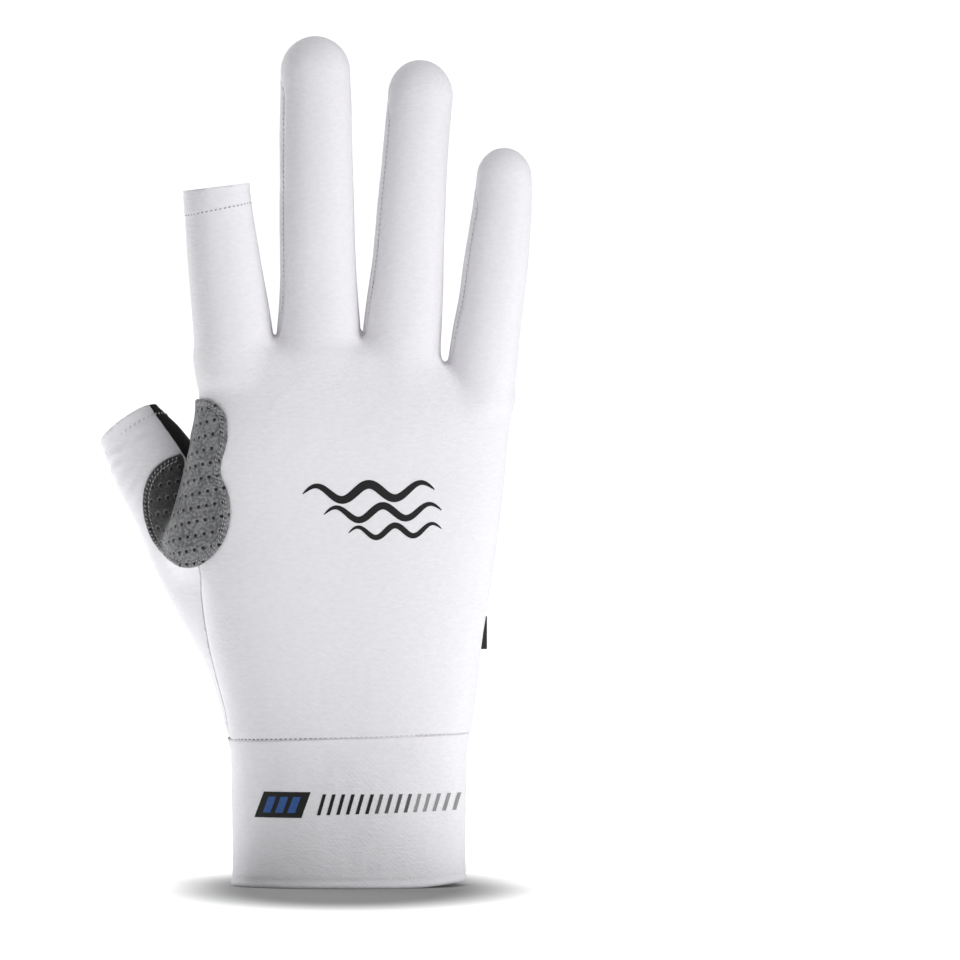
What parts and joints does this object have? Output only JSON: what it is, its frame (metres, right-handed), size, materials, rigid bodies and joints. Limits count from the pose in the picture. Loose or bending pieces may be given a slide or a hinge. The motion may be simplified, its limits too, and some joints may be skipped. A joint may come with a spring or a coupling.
{
  "type": "fishing glove",
  "caption": "Thin knit glove with a perforated grip palm, three closed fingers, an open index finger and thumb, a wrist cuff and a small side clip.",
  "frame": {"origin": "centre of the cuff's open end, where a wrist goes in", "axes": "+Z from the cuff to the fingertips, -Y out of the back of the hand, +Y out of the palm, +X towards the little finger"},
  "size_m": [0.1232, 0.0565, 0.2428],
  "materials": {
    "white_knit": "fine stretch knit with a faint sheen, white",
    "grey_grip": "brushed suede-like grip cloth with rows of small punched dots, grey",
    "black_strip": "smooth black strip",
    "black_webbing": "ribbed black webbing",
    "black_plastic": "moulded black plastic, half matte"
  },
  "bodies": {
    "root": {"cuff": "white_knit", "back_panel": "white_knit", "gusset_index_middle": "white_knit", "gusset_middle_ring": "white_knit", "gusset_ring_little": "white_knit", "thumb_back": "white_knit", "palm_panel": "grey_grip", "thumb_palm": "grey_grip", "web_patch": "grey_grip", "thumb_strip": "black_strip", "webbing_loop": "black_webbing", "clip": "black_plastic"}
  },
  "joints": []
}
